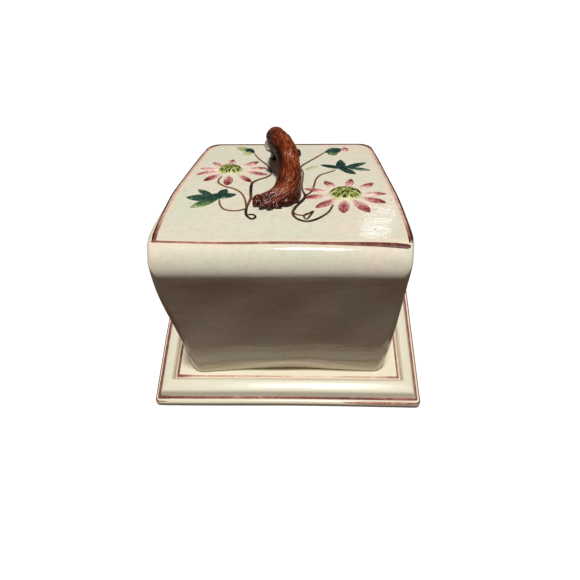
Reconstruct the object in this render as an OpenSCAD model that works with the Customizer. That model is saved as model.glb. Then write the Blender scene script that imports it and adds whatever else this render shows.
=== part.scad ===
// Covered butter dish: a moulded rectangular plate and a tall slant-topped
// cover with a branch handle, both glazed earthenware with sprigged relief.
// Origin at the centre of the plate's underside, +Y to the back, +Z up.

/* [Plate] */
// Width of the plate along its front edge
plate_front_w = 175; // [164:1:185]
// Width of the plate along its back edge
plate_back_w = 164; // [154:1:175]
// Depth of the plate from front to back
plate_depth = 192; // [190:1:205]
// Height of the well's floor above the table
well_h = 6.5; // [5.5:0.5:9]
// Height of the moulded border above the well's floor
border_rise = 4; // [2:0.5:6]
// Width of the whole border at the two sides
border_side_w = 13.5; // [9:0.5:14]
// Width of the whole border at the front and the back
border_end_w = 17.5; // [14:0.5:18]

/* [Cover] */
// Width of the cover along its front face
cover_front_w = 129; // [120:1:132]
// Width of the cover at its back, before the corners are rounded
cover_back_w = 112; // [104:1:118]
// Depth of the cover from front to back
cover_depth = 147.5; // [140:0.5:150]
// Height at which the top slope, carried on, would meet the front face
cover_h = 130; // [115:1:145]
// Angle by which the top falls towards the back
slope = 23.5; // [15:0.5:28]
// Radius of the rolled crest at the front
crest_r = 12; // [8:1:16]
// Bow of each side, outward from a straight line
side_bow = 3.2; // [0:0.2:4]
// Thickness of the wall
wall = 5; // [3.5:0.5:6]

/* [Handle] */
// Rise of the branch's middle line above the top
branch_rise = 23; // [20:1:30]
// Radius of the branch at its thinnest
branch_r = 5.8; // [5:0.1:6.5]

/* [Relief] */
// Height of the petals, leaves and buds above the glaze
relief_h = 1.2; // [0.6:0.2:2]
// Height of the trailed vines above the glaze
vine_h = 0.9; // [0.6:0.1:1.4]

/* [Hidden] */

cream = "cornsilk";
bark = "saddlebrown";
twig_end = "silver";
rose = "palevioletred";
seed = "yellowgreen";
leaf_green = "darkslategray";
pale_green = "darkseagreen";
stem_brown = "sienna";

// Plate: outline and section
plate_corner_r = 5;
corner_steps = 6;
border_top = well_h + border_rise;
lip_w = 3;
lip_end_w = 4.4;
lip_h = well_h - 1.6;
foot_w = 6;
foot_recess = 1.5;

// Cover: outline and section
cover_y = -cover_depth / 2;
front_corner_r = 5;
back_corner_r = 12;
back_edge_r = 4;
crest_z = cover_h - crest_r * tan(slope) - crest_r / cos(slope);
arc_steps = 10;
cover_span = max(cover_front_w, cover_back_w) + 2 * side_bow + 10;

// Branch: [across, up the slope, share of the rise, share of the radius]
branch_route = [
    [-11.5, 57.5, 0.04, 0.95],
    [-5, 60.5, 0.13, 1.05],
    [0.5, 65.5, 0.25, 1.15],
    [2.6, 73, 0.42, 1.18],
    [2.4, 81, 0.63, 1.10],
    [1, 88, 0.82, 1.10],
    [-2.2, 95.5, 0.96, 1.12],
    [-5.2, 104, 1.00, 1.08],
    [-7, 114, 0.90, 0.98],
    [-7, 123, 0.64, 0.98],
    [-5.8, 129.5, 0.33, 1.04],
    [-5, 133.5, 0, 1.12]
];
branch_steps = 3;
branch_sides = 12;

// Flowers: [across, up the slope] of the middle, radius of the seed centre,
// and each petal's [bearing, start and end out from the middle, width]
left_flower = [-36.3, 110.3];
left_centre_r = 7.4;
left_petal_rows = [
    [271, 10.5, 23.3, 6.2], [308, 10.5, 23.9, 4.6], [342, 11.5, 25.2, 4.4], [8, 13, 22.6, 3.8],
    [41, 11.5, 21.6, 5.2], [91, 9.5, 17.4, 5], [135, 9.5, 17.4, 4], [172, 8.8, 19.4, 4],
    [199, 9, 21.3, 4.2], [230, 11, 22, 5.4]
];
right_flower = [35.3, 74.4];
right_centre_r = 9.3;
right_petal_rows = [
    [227, 11, 25, 6], [264, 10.5, 24.6, 6.6], [296, 10.5, 26.2, 7], [332, 12, 24.4, 6.2],
    [359, 11.5, 22.8, 4.4], [41, 12, 22.6, 5], [77, 11, 21.2, 5.4], [123, 11.5, 21, 5.4],
    [164, 12.5, 24, 4.4], [194, 11.5, 24.4, 5.4]
];
centre_rise = 3;

// Leaves: where the lobes meet, and each lobe's [bearing, length]
left_leaf_at = [-40, 70];
left_lobes = [[14, 13], [64, 13], [143, 17], [180, 18], [227, 20]];
right_leaf_at = [34, 116];
right_lobes = [[-53, 14], [-19, 20], [22, 19], [89, 11], [166, 14]];
lobe_spread = 12;
root_spread = 16;
lobe_root = 4;

// Vines: the corners of each trailed stroke, [across, up the slope]
left_vine_route = [
    [-23, 140], [-13, 118], [-10, 106], [-12, 99], [-19, 91],
    [-20.5, 82], [-19.5, 65], [-20.5, 49], [-19, 44], [-16, 42], [-14.5, 45], [-17.5, 46.5]
];
left_tendril_routes = [
    [[-41.5, 92], [-38, 86], [-31, 81.5], [-25.5, 75], [-22, 63], [-21, 58]],
    [[-37.5, 66], [-34.5, 55.5], [-28.5, 51.5], [-21.5, 53.5]]
];
right_vine_route = [
    [24, 143], [8.5, 115], [10, 99], [9.8, 80], [11.5, 71], [10.5, 67], [8, 58],
    [4.8, 52], [4.7, 46], [7.6, 40.5], [12, 38.5], [17.5, 40.5], [22.5, 48.5], [26, 55]
];
right_tendril_routes = [
    [[6, 50], [8.5, 46], [11.5, 46], [16.5, 50.5]],
    [[16.5, 50.5], [14, 45], [12, 41]],
    [[11.5, 72], [15, 76], [16.5, 86], [18, 95], [21.5, 102], [29, 110]]
];
vine_w = 1.5;
tendril_w = 1.2;
vine_steps = 4;

// Depth to which every sprig and trail is bedded into the cover
bond = 0.3;

// A point on a circle
function on_circle(centre, r, a) = centre + r * [cos(a), sin(a)];

// Points along an arc, both ends included
function arc(centre, r, a0, a1, steps) =
    [for (i = [0:steps]) on_circle(centre, r, a0 + (a1 - a0) * i / steps)];

// One span of a Catmull-Rom curve
function span(p0, p1, p2, p3, t) = 0.5 * (2 * p1 + (p2 - p0) * t
    + (2 * p0 - 5 * p1 + 4 * p2 - p3) * t * t
    + (3 * p1 - p0 - 3 * p2 + p3) * t * t * t);

// A smooth curve through the points, with steps pieces between each pair
function smooth(p, steps) = let (last = len(p) - 1) [
    for (i = [0:last - 1], k = [0:steps - 1])
        span(p[max(i - 1, 0)], p[i], p[i + 1], p[min(i + 2, last)], k / steps),
    p[last]
];

function unit(v) = v / norm(v);

// Direction of a curve at its point i
function heading(p, i) = unit(p[min(i + 1, len(p) - 1)] - p[max(i - 1, 0)]);

// A closed ribbon of even width round a flat curve
function ribbon(p, w) = let (side = [for (i = [0:len(p) - 1]) let (h = heading(p, i)) [-h.y, h.x] * w / 2])
    concat(p + side, [for (i = [len(p) - 1:-1:0]) p[i] - side[i]]);

// Half width of the cover's side, a distance y back from the front face
function side_x(y) = let (t = y / cover_depth)
    (cover_front_w + (cover_back_w - cover_front_w) * t) / 2 + 4 * side_bow * t * (1 - t);

// Right half of the cover's outline, from the front to the back, drawn in by inset
function half_outline(inset) = let (
    r_front = front_corner_r - min(inset, front_corner_r - 1),
    r_back = back_corner_r - inset,
    depth = cover_depth - inset,
    y_back = depth - r_back,
    tilt = atan(side_x(y_back - 1) - side_x(y_back)),
    x_back = side_x(y_back) - inset - r_back
) concat(
    arc([side_x(inset) - inset - r_front, inset + r_front], r_front, -90, 0, corner_steps),
    [for (i = [1:arc_steps - 1]) let (y = inset + r_front + (y_back - inset - r_front) * i / arc_steps)
        [side_x(y) - inset, y]],
    arc([x_back, y_back], r_back, tilt, 90, corner_steps)
);

// Whole outline of the cover
function cover_outline(inset) = let (half = half_outline(inset)) concat(
    half,
    [for (i = [len(half) - 1:-1:0]) [-half[i].x, half[i].y]]
);

// Side view of the cover, front on the left, drawn in by inset, reaching below by drop
function cover_section(inset, drop) = let (
    r_back = max(back_edge_r - inset, 0.5),
    y_back = cover_depth - inset - r_back,
    z_back = cover_h - y_back * tan(slope) - (r_back + inset) / cos(slope)
) concat(
    [[inset, -drop]],
    arc([crest_r, crest_z], crest_r - inset, 180, 90 - slope, arc_steps),
    arc([y_back, z_back], r_back, 90 - slope, 0, corner_steps),
    [[cover_depth - inset, -drop]]
);

// A solid of the cover's shape, drawn in by inset and reaching below by drop
module cover_form(inset, drop) {
    intersection() {
        rotate([90, 0, 90])
            linear_extrude(cover_span, center = true)
                polygon(cover_section(inset, drop));
        translate([0, 0, -drop])
            linear_extrude(cover_h + drop)
                polygon(cover_outline(inset));
    }
}

// Puts its children where the cover stands in the plate's well
module in_well() {
    translate([0, cover_y, well_h]) children();
}

// Puts its children on the top slope, [across, up the slope, out of it]
module on_slope() {
    translate([0, cover_y, well_h + cover_h])
        rotate([-slope, 0, 0])
            children();
}

// Puts a sprig at a place on the slope, bedded into the clay
module sprig(at = [0, 0]) {
    on_slope() translate([at.x, at.y, -bond]) children();
}

// Plate's section from the recess under it, round the lip and into the well:
// [how far in from the edge at the sides, height]
plate_section = [
    [foot_w, foot_recess],
    [foot_w - 1, 0],
    [1.4, 0],
    [0.5, 0.3],
    [0, 1.1],
    [0.15, lip_h - 1.3],
    [0.6, lip_h - 0.4],
    [1.4, lip_h],
    [lip_w - 0.6, lip_h],
    [lip_w, lip_h - 0.5],
    [lip_w + 0.6, lip_h + 0.4],
    [lip_w + 1.7, border_top - 1.9],
    [lip_w + 3.2, border_top - 0.9],
    [border_side_w - 3.6, border_top - 0.1],
    [border_side_w - 2.6, border_top - 0.2],
    [border_side_w - 1.8, border_top - 1.4],
    [border_side_w - 0.6, well_h + 0.5],
    [border_side_w, well_h]
];

// The same distance in at the front and the back, where the lip and the border are wider
function end_inset(d) = d <= lip_w ? d * lip_end_w / lip_w
    : lip_end_w + (d - lip_w) * (border_end_w - lip_end_w) / (border_side_w - lip_w);

// One closed ring round the plate, d in from its edge at height z
function plate_ring(d, z) = let (
    r = max(plate_corner_r - d, 0.6),
    front = [plate_front_w / 2 - d - r, plate_depth / 2 - end_inset(d) - r],
    back = [plate_back_w / 2 - d - r, plate_depth / 2 - end_inset(d) - r]
) [
    for (p = concat(
        arc([front.x, -front.y], r, -90, 0, corner_steps),
        arc([back.x, back.y], r, 0, 90, corner_steps),
        arc([-back.x, back.y], r, 90, 180, corner_steps),
        arc([-front.x, -front.y], r, 180, 270, corner_steps)
    )) [p.x, p.y, z]
];

// Skins a stack of equal rings into a closed solid
module skin(rings) {
    n = len(rings[0]);
    last = len(rings) - 1;
    sides = [
        for (k = [0:last - 1], i = [0:n - 1])
            let (j = (i + 1) % n) [k * n + i, (k + 1) * n + i, (k + 1) * n + j, k * n + j]
    ];
    first_cap = [for (i = [0:n - 1]) i];
    last_cap = [for (i = [n - 1:-1:0]) last * n + i];
    polyhedron([for (ring = rings) each ring], concat([first_cap], sides, [last_cap]), convexity = 6);
}

module base_plate() {
    color(cream) skin([for (p = plate_section) plate_ring(p[0], p[1])]);
}

module cover_shell() {
    color(cream) in_well() difference() {
        cover_form(0, 0);
        cover_form(wall, 1);
    }
}

// Branch's middle line with the radius as a fourth number
branch_curve = smooth([
    for (p = branch_route) [p[0], p[1], p[2] * branch_rise, p[3] * branch_r]
], branch_steps);

module branch_handle() {
    line = [for (p = branch_curve) [p[0], p[1], p[2]]];
    rings = [
        for (i = [0:len(line) - 1])
            let (h = heading(line, i), across = unit(cross(h, [h.y, -h.x, 0.6])), up = cross(across, h))
            [for (k = [0:branch_sides - 1]) let (a = -k * 360 / branch_sides)
                line[i] + branch_curve[i][3] * (cos(a) * across + sin(a) * up)]
    ];
    color(bark) on_slope() skin(rings);
}

// Toes and heel where the branch grips the cover: [across, up the slope, radius]
root_knuckles = [
    [-13.4, 61.4, 3], [-12.8, 57.8, 3], [-10.4, 55.4, 2.9], [-7, 54.4, 2.9],
    [-3.4, 55.6, 3.2], [3.4, 62, 5], [5.8, 68, 4.4]
];

module branch_root() {
    color(bark) on_slope()
        for (k = root_knuckles)
            translate([k[0], k[1], k[2] / 2]) sphere(k[2], $fn = 24);
}

// Stub of a twig that was cut off the branch, on the left
module cut_twig() {
    color(twig_end) on_slope()
        translate([-5.2, 102.8, 17.8]) rotate([0, 78, 220])
            cylinder(h = 6.2, r1 = 3.9, r2 = 3, $fn = 24);
}

module twig_knot() {
    color(bark) on_slope()
        translate([6.6, 91, 18.5]) sphere(2.4, $fn = 24);
}

// A petal lying along +X from its root to its tip, as a flat-backed shape
module petal(root, tip, w) {
    mid = (root + tip) / 2;
    half = (tip - root) / 2;
    r = (half * half + w * w / 4) / w;
    linear_extrude(relief_h + bond)
        polygon(concat(
            arc([mid, w / 2 - r], r, 90 - asin(half / r), 90 + asin(half / r), corner_steps),
            [for (p = arc([mid, r - w / 2], r, 270 - asin(half / r), 270 + asin(half / r), corner_steps))
                if (abs(p.x - mid) < half - 0.01) p]
        ));
}

// Petals round a flower's centre
module petal_ring(at, rows) {
    color(rose) sprig(at)
        for (row = rows)
            rotate(row[0]) petal(row[1], row[2], row[3]);
}

// A domed seed centre, turned from a circular arc
module seed_centre(at, r) {
    ball = (r * r + centre_rise * centre_rise) / (2 * centre_rise);
    dome = arc([0, bond + centre_rise - ball], ball, 90 - asin(r / ball), 90, corner_steps);
    color(seed) sprig(at)
        rotate_extrude($fn = 48)
            polygon(concat([[0, 0], [r, 0]], dome));
}

module left_petals() petal_ring(left_flower, left_petal_rows);

module left_flower_centre() seed_centre(left_flower, left_centre_r);

module right_petals() petal_ring(right_flower, right_petal_rows);

module right_flower_centre() seed_centre(right_flower, right_centre_r);

// A leaf with pointed lobes that meet near one point
module lobed_leaf(at, lobes) {
    outline = [
        for (lobe = lobes) each [
            on_circle([0, 0], lobe_root, lobe[0] - root_spread),
            on_circle([0, 0], lobe[1] * 0.6, lobe[0] - lobe_spread),
            on_circle([0, 0], lobe[1], lobe[0]),
            on_circle([0, 0], lobe[1] * 0.6, lobe[0] + lobe_spread),
            on_circle([0, 0], lobe_root, lobe[0] + root_spread)
        ]
    ];
    color(leaf_green) sprig(at) linear_extrude(relief_h + bond) polygon(outline);
}

module left_leaf() lobed_leaf(left_leaf_at, left_lobes);

module right_leaf() lobed_leaf(right_leaf_at, right_lobes);

// A bud or a single leaf: a petal from one point to another
module bud(from, to, w, tint) {
    d = to - from;
    color(tint) sprig(from) rotate(atan2(d.y, d.x)) petal(0, norm(d), w);
}

module pale_leaf() bud([11, 112.5], [20, 118.5], 3.4, pale_green);

module left_bud() bud([-22.5, 144], [-35, 152], 6, leaf_green);

module right_bud() bud([24.5, 143.5], [33.5, 147], 6, leaf_green);

module right_bud_tip() bud([33.5, 147], [39.5, 149.5], 4.5, rose);

// A trailed line of slip along a curve
module trail(route, w) {
    linear_extrude(vine_h + bond) polygon(ribbon(smooth(route, vine_steps), w));
}

module left_vine() {
    color(stem_brown) sprig() trail(left_vine_route, vine_w);
}

module left_tendrils() {
    color(stem_brown) sprig()
        for (route = left_tendril_routes) trail(route, tendril_w);
}

module right_vine() {
    color(stem_brown) sprig() trail(right_vine_route, vine_w);
}

module right_tendrils() {
    color(stem_brown) sprig()
        for (route = right_tendril_routes) trail(route, tendril_w);
}

base_plate();
cover_shell();
branch_handle();
branch_root();
cut_twig();
twig_knot();
left_petals();
left_flower_centre();
right_petals();
right_flower_centre();
left_leaf();
right_leaf();
pale_leaf();
left_bud();
right_bud();
right_bud_tip();
left_vine();
left_tendrils();
right_vine();
right_tendrils();
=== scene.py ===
import math
from collections import namedtuple

import bmesh
import bpy
import numpy as np
from mathutils import Matrix, Vector, noise


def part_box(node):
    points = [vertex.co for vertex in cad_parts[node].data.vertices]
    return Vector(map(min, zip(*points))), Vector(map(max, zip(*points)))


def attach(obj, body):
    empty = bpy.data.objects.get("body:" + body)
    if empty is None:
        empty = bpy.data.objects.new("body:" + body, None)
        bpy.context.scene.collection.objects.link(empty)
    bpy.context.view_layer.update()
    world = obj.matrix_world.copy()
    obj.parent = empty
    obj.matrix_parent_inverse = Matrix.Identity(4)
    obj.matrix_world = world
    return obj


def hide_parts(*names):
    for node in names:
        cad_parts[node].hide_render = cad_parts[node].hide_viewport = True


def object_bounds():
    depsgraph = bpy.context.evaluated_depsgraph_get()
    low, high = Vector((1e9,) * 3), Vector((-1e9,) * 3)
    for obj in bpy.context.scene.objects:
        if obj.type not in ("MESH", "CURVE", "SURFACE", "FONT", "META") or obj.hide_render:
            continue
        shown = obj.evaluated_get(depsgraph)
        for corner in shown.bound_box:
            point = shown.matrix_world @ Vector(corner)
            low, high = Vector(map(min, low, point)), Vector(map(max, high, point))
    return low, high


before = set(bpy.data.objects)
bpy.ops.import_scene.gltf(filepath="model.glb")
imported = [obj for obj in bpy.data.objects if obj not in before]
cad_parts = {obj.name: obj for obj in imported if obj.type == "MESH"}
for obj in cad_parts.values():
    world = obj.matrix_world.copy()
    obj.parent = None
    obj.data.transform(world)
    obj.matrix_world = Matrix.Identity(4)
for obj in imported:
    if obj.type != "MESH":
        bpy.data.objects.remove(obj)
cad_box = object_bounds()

# A covered butter dish in glazed earthenware: a moulded plate, a tall slant-topped cover, a branch
# for a handle, and sprigged flowers. Shapes are worked out in millimetres in three sets of axes:
#   plate  x, y, z as in the CAD frame
#   cover  x, y back from the front face, z up from the well's floor
#   top    x, s up the slope from the front, h out of it
MM = 0.001
plate_low, plate_high = (np.array(corner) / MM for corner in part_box("base_plate"))
cover_low, cover_high = (np.array(corner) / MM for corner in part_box("cover_shell"))

# Cover
cover_y = cover_low[1]
well_h = cover_low[2]
cover_depth = cover_high[1] - cover_low[1]
cover_front_w = 129
cover_back_w = 112
cover_h = 130
slope = math.radians(23.5)
crest_r = 12
side_bow = 3.2
wall = 5
front_corner_r = 5
foot_corner_r = 9
rim_r = 1.9
back_corner_r = 12
back_edge_r = 4
side_edge_r = 2.5
crest_z = cover_h - crest_r * math.tan(slope) - crest_r / math.cos(slope)
roof_inset = crest_r * (1 + math.sin(slope))

# Plate
plate_back_w = 164
plate_front_w = plate_high[0] - plate_low[0]
plate_depth = plate_high[1] - plate_low[1]
plate_corner_r = 3.2
border_top = well_h + 4
border_side_w = 13.5
border_end_w = 17.5
lip_w = 3
lip_end_w = 4.4
lip_h = well_h - 1.6
foot_w = 6
foot_recess = 1.5

# Handle
branch_rise = 23
branch_r = 5.8


# ---------------- numbers and curves

def srgb(red, green, blue):
    """A colour given in 0 to 255 as the linear colour a shader wants."""
    def linear(value):
        value = value / 255
        return value / 12.92 if value <= 0.04045 else ((value + 0.055) / 1.055) ** 2.4
    return (linear(red), linear(green), linear(blue), 1)


def smoothstep(low, high, value):
    t = np.clip((value - low) / (high - low), 0, 1)
    return t * t * (3 - 2 * t)


def smooth(points, steps):
    """A Catmull-Rom curve through points of any number of columns."""
    points = np.array(points, float)
    last = len(points) - 1
    curve = []
    for i in range(last):
        p0, p1, p2, p3 = (points[min(max(i + k, 0), last)] for k in (-1, 0, 1, 2))
        for t in np.arange(steps) / steps:
            curve.append(0.5 * (
                2 * p1 + (p2 - p0) * t
                + (2 * p0 - 5 * p1 + 4 * p2 - p3) * t ** 2
                + (3 * p1 - p0 - 3 * p2 + p3) * t ** 3
            ))
    curve.append(points[last])
    return np.array(curve)


def unit(vectors):
    """Vectors scaled to a length of 1."""
    return vectors / np.maximum(np.linalg.norm(vectors, axis=-1, keepdims=True), 1e-9)


def headings(curve):
    """The way a curve runs at each of its points."""
    return unit(np.gradient(curve, axis=0))


def turns(count):
    """Angles evenly round a circle."""
    return np.arange(count) * 2 * math.pi / count


def noise_at(points, size, seed):
    """Smooth noise from about -1 to 1 whose lumps are about size across."""
    return np.array([noise.noise(Vector(p) / size + Vector((seed * 7.3, seed * 3.1, 0))) for p in points])


# ---------------- meshes

def loft_faces(rings, around, closed=False):
    """Quads between a stack of equal closed rings."""
    faces = []
    for k in range(rings if closed else rings - 1):
        nxt = (k + 1) % rings
        for i in range(around):
            j = (i + 1) % around
            faces.append((k * around + i, k * around + j, nxt * around + j, nxt * around + i))
    return faces


def placed(name, data):
    """A new object, linked to the scene."""
    obj = bpy.data.objects.new(name, data)
    bpy.context.scene.collection.objects.link(obj)
    return obj


def capped_faces(rings, around):
    """Faces of a stack of rings that is closed at both ends."""
    last = (rings - 1) * around
    return loft_faces(rings, around) + [tuple(range(around)), tuple(range(last, last + around))]


def ring_at(outline, z):
    """A ring over a plane outline, at the height z or with a height for each of its points."""
    return np.column_stack([outline, np.broadcast_to(z, (len(outline),))])


def filled(rings, middles):
    """Points and faces of a stack of rings that is filled in at each end to a point in its middle."""
    around = len(rings[0])
    points = np.concatenate([np.array(rings).reshape(-1, 3), middles])
    middle = len(points) - 2
    faces = loft_faces(len(rings), around)
    for first, centre in ((0, middle), (middle - around, middle + 1)):
        faces += [(first + i, first + (i + 1) % around, centre) for i in range(around)]
    return points, faces


class Mesh:
    """Vertices, faces and per-vertex values that build up into one piece."""

    def __init__(self):
        self.vertices = []
        self.faces = []
        self.values = {}

    def add(self, vertices, faces, **values):
        """Adds a skin in millimetres, with values for its vertices, and returns the mesh."""
        first = len(self.vertices)
        self.vertices.extend(np.asarray(vertices, float).reshape(-1, 3).tolist())
        self.faces.extend(tuple(first + i for i in face) for face in faces)
        for name, value in values.items():
            column = self.values.setdefault(name, [])
            column.extend([0.0] * (first - len(column)))
            column.extend(np.broadcast_to(value, (len(self.vertices) - first,)).tolist())
        return self

    def piece(self, name, body, slot, nodes=(), glaze=None):
        """Makes the object, in metres, riding on its body and standing for its CAD nodes. It wears
        the glaze of its material slot, unless another is named."""
        mesh = bpy.data.meshes.new(name)
        mesh.from_pydata([[c * MM for c in v] for v in self.vertices], [], self.faces)
        for key, column in self.values.items():
            column.extend([0.0] * (len(self.vertices) - len(column)))
            mesh.attributes.new(key, "FLOAT", "POINT").data.foreach_set("value", column)
        work = bmesh.new()
        work.from_mesh(mesh)
        bmesh.ops.recalc_face_normals(work, faces=work.faces)
        work.to_mesh(mesh)
        work.free()
        mesh.shade_smooth()
        mesh.materials.append(GLAZES[glaze or slot])
        obj = placed(name, mesh)
        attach(obj, body)
        if nodes:
            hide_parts(*nodes)


def remeshed(shapes, voxel):
    """Joins closed shapes into one skin and returns its vertices and faces."""
    joined = Mesh()
    for vertices, faces in shapes:
        joined.add(vertices, faces)
    mesh = bpy.data.meshes.new("joining")
    mesh.from_pydata(joined.vertices, [], joined.faces)
    obj = placed("joining", mesh)
    remesh = obj.modifiers.new("remesh", "REMESH")
    remesh.mode = "VOXEL"
    remesh.voxel_size = voxel
    soften = obj.modifiers.new("soften", "SMOOTH")
    soften.factor = 0.5
    soften.iterations = 6
    made = bpy.data.meshes.new_from_object(obj.evaluated_get(bpy.context.evaluated_depsgraph_get()))
    vertices = np.array([v.co for v in made.vertices])
    faces = [tuple(p.vertices) for p in made.polygons]
    bpy.data.objects.remove(obj)
    bpy.data.meshes.remove(mesh)
    bpy.data.meshes.remove(made)
    return vertices, faces


# ---------------- the cover's shape

def side_x(y):
    """Half the width of the cover, which bows along its sides, at y."""
    t = y / cover_depth
    return (cover_front_w + (cover_back_w - cover_front_w) * t) / 2 + 4 * side_bow * t * (1 - t)


def arc(centre, r, a0, a1, steps):
    a = np.radians(np.linspace(a0, a1, steps + 1))
    return np.stack([centre[0] + r * np.cos(a), centre[1] + r * np.sin(a)], -1)


def cover_outline(inset, low=0.0):
    """The cover seen from above, drawn in by inset: a ring from the front middle by the right side.
    low is 0 at the crest and 1 at the foot, where the front corners are rounder."""
    r_front = max(front_corner_r + (foot_corner_r - front_corner_r) * low - inset, 1)
    r_back = max(back_corner_r - inset, 1.5)
    y_front = inset + r_front
    y_back = cover_depth - inset - r_back
    x_front = side_x(y_front) - inset - r_front
    x_back = side_x(y_back) - inset - r_back
    side_y = np.linspace(y_front, y_back, 46)[1:-1]
    half = np.concatenate([
        np.stack([np.linspace(0, x_front, 31)[:-1], np.full(30, inset)], -1),
        arc([x_front, y_front], r_front, -90, 0, 10),
        np.stack([side_x(side_y) - inset, side_y], -1),
        arc([x_back, y_back], r_back, 0, 90, 12),
        np.stack([np.linspace(x_back, 0, 25)[1:], np.full(24, cover_depth - inset)], -1),
    ])
    return np.concatenate([half, half[-2:0:-1] * [-1, 1]])


def roof(y, inset=0):
    """Height of the top at a distance y from the front face, drawn in by inset."""
    y = np.asarray(y, float)
    r_crest = crest_r - inset
    r_back = max(back_edge_r - inset, 0.5)
    y_back = cover_depth - inset - r_back
    z_back = cover_h - y_back * math.tan(slope) - (r_back + inset) / math.cos(slope)
    crest = crest_z + np.sqrt(np.maximum(r_crest ** 2 - (y - crest_r) ** 2, 0))
    back = z_back + np.sqrt(np.maximum(r_back ** 2 - (y - y_back) ** 2, 0))
    plane = cover_h - y * math.tan(slope) - inset / math.cos(slope)
    height = np.where(y < crest_r + r_crest * math.sin(slope), crest, plane)
    return np.where(y > y_back + r_back * math.sin(slope), back, height)


def slumped(points):
    """The hand-made lean, swell and ripple of the fired cover, in the cover's axes."""
    x, y, z = np.moveaxis(np.asarray(points, float), -1, 0)
    t = np.clip(z / crest_z, 0, 1.1)
    reach = x / (cover_front_w / 2)
    near_front = 1 - smoothstep(0, 30, y)
    # Both sides swell at mid height and behind the crest, and the left one bulges
    swell = 0.5 + 0.6 * t + 2.6 * t * (1 - t)
    swell = swell + 1.3 * smoothstep(4, 26, y) * (1 - smoothstep(60, 110, y)) * t
    leftward = smoothstep(0.3, 1, -reach)
    bulge = 2.4 * np.exp(-((t - 0.85) / 0.32) ** 2) * (1 - smoothstep(10, 60, y))
    bulge = bulge + 1.6 * t * np.sin(np.pi * np.clip(y / cover_depth, 0, 1))
    # The front leans back, and its foot is drawn in at the middle and out at the left
    set_back = 2.6 * smoothstep(0, 1, t)
    hollow = 2.4 * np.exp(-(z / 12) ** 2) * np.cos(np.clip(reach, -1, 1) * np.pi / 2) ** 2
    twist = -1.6 * leftward * (1 - smoothstep(0, 60, z))
    # The top of the crest sits up to a millimetre back
    ease = np.exp(-((z - crest_z - 12.5) / 7.5) ** 2)
    ripple = 0.22 * np.sin(x / 17 + z / 26) + 0.12 * np.sin(x / 7.7 - z / 12 + 1)
    push = hollow + twist + ease + ripple * (1 - t ** 6) + set_back * math.cos(slope)
    dip = 0.25 * np.sin(x / 21 + y / 33 + 0.7) * smoothstep(60, 100, z)
    return np.stack([
        x + reach * swell - leftward * bulge + 0.15 * np.sin(y / 13 + z / 19),
        y + near_front * push,
        z + dip - near_front * set_back * math.sin(slope),
    ], -1)


def place_cover(points):
    """From the cover's axes to the frame."""
    return slumped(points) + np.array([0, cover_y, well_h])


def on_top(spot, height, held=True):
    """The point at x, s on the top and a height out of the glaze, in the frame. A held point keeps the
    x it was measured at; the others move with the swell of the cover."""
    x, s = spot
    y = s * math.cos(slope)
    step = 0.05
    rise = (roof(y + step) - roof(y - step)) / (2 * step)
    size = np.sqrt(1 + rise ** 2)
    local = np.array([x, y - height * rise / size, roof(y) + height / size])
    if held:
        local = local - (slumped(local) - local) * [1, 0, 0]
    return place_cover(local)


def over_top(points):
    """From the top's own axes, x, s and h, to the frame."""
    x, s, h = np.moveaxis(np.asarray(points, float), -1, 0)
    return place_cover(np.stack([
        x,
        s * math.cos(slope) + h * math.sin(slope),
        cover_h - s * math.sin(slope) + h * math.cos(slope),
    ], -1))


def cover_skin(inset):
    """Rings from the middle of the top down to the foot, at a distance inset inside the outside."""
    edge_r = max(side_edge_r - inset, 0.6)
    steps = 22
    turn = (math.pi / 2 + slope) * np.arange(steps + 1) / steps
    draws = (roof_inset - inset) * (1 - np.cos(turn)) / (1 - math.cos(turn[-1]))
    outer = cover_outline(inset)
    # The middle of the top, from front to back
    spine = np.stack([0 * outer[:, 0], np.clip(outer[:, 1], 45, 105)], -1)
    flat = cover_outline(inset + draws[-1])
    # 1 along the sides and 0 along the front and back
    at_side_edge = headings(outer)[:, 1] ** 2
    rings = []
    for share in np.linspace(0.08, 0.92, 14):
        spot = spine + (flat - spine) * share
        rings.append(ring_at(spot, roof(spot[:, 1], inset)))
    for draw in draws[::-1]:
        spot = cover_outline(inset + draw)
        cut = edge_r - np.sqrt(max(edge_r ** 2 - max(edge_r - draw, 0) ** 2, 0))
        rings.append(ring_at(spot, roof(spot[:, 1], inset) - at_side_edge * cut))
    top_z = rings[-1][:, 2]
    for share in np.linspace(1, 0, 46)[1:] ** 1.35:
        outline = cover_outline(inset, (1 - share) ** 2)
        rings.append(ring_at(outline, rim_r + (top_z - rim_r) * share))
    return rings


def make_cover():
    angles = np.radians(range(15, 91, 15))
    rounding = [(rim_r * (1 - math.cos(a)), rim_r * (1 - math.sin(a))) for a in angles]
    section = rounding + [(3.2, 0), (4, 0), (4.6, 0.3), (4.9, 1.2)]
    rim = [ring_at(cover_outline(inset, 1), z) for inset, z in section]
    middle_y = 75
    middles = [(0, middle_y, roof(middle_y, inset)) for inset in (0, wall)]
    points, faces = filled(cover_skin(0) + rim + cover_skin(wall)[::-1], middles)
    y, z = points[:, 1], points[:, 2]
    on_roof = smoothstep(-1.5, -0.2, z - roof(y))
    by_crest = 0.5 * np.exp(-((y - 14) / 4) ** 2)
    by_side = 0.6 * smoothstep(8, 3, side_x(y) - np.abs(points[:, 0])) * smoothstep(14, 30, y)
    blush = on_roof * np.maximum(by_crest, by_side)
    mesh = Mesh().add(place_cover(points), faces, bare=np.where(z < 0.12, 1.0, 0.0), blush=blush)
    mesh.piece("cover_glazed_shell", "cover", "cream_glaze", ["cover_shell"])


# ---------------- the plate's shape

def end_inset(d):
    beyond = lip_end_w + (d - lip_w) * (border_end_w - lip_end_w) / (border_side_w - lip_w)
    return np.where(d <= lip_w, d * lip_end_w / lip_w, beyond)


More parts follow.
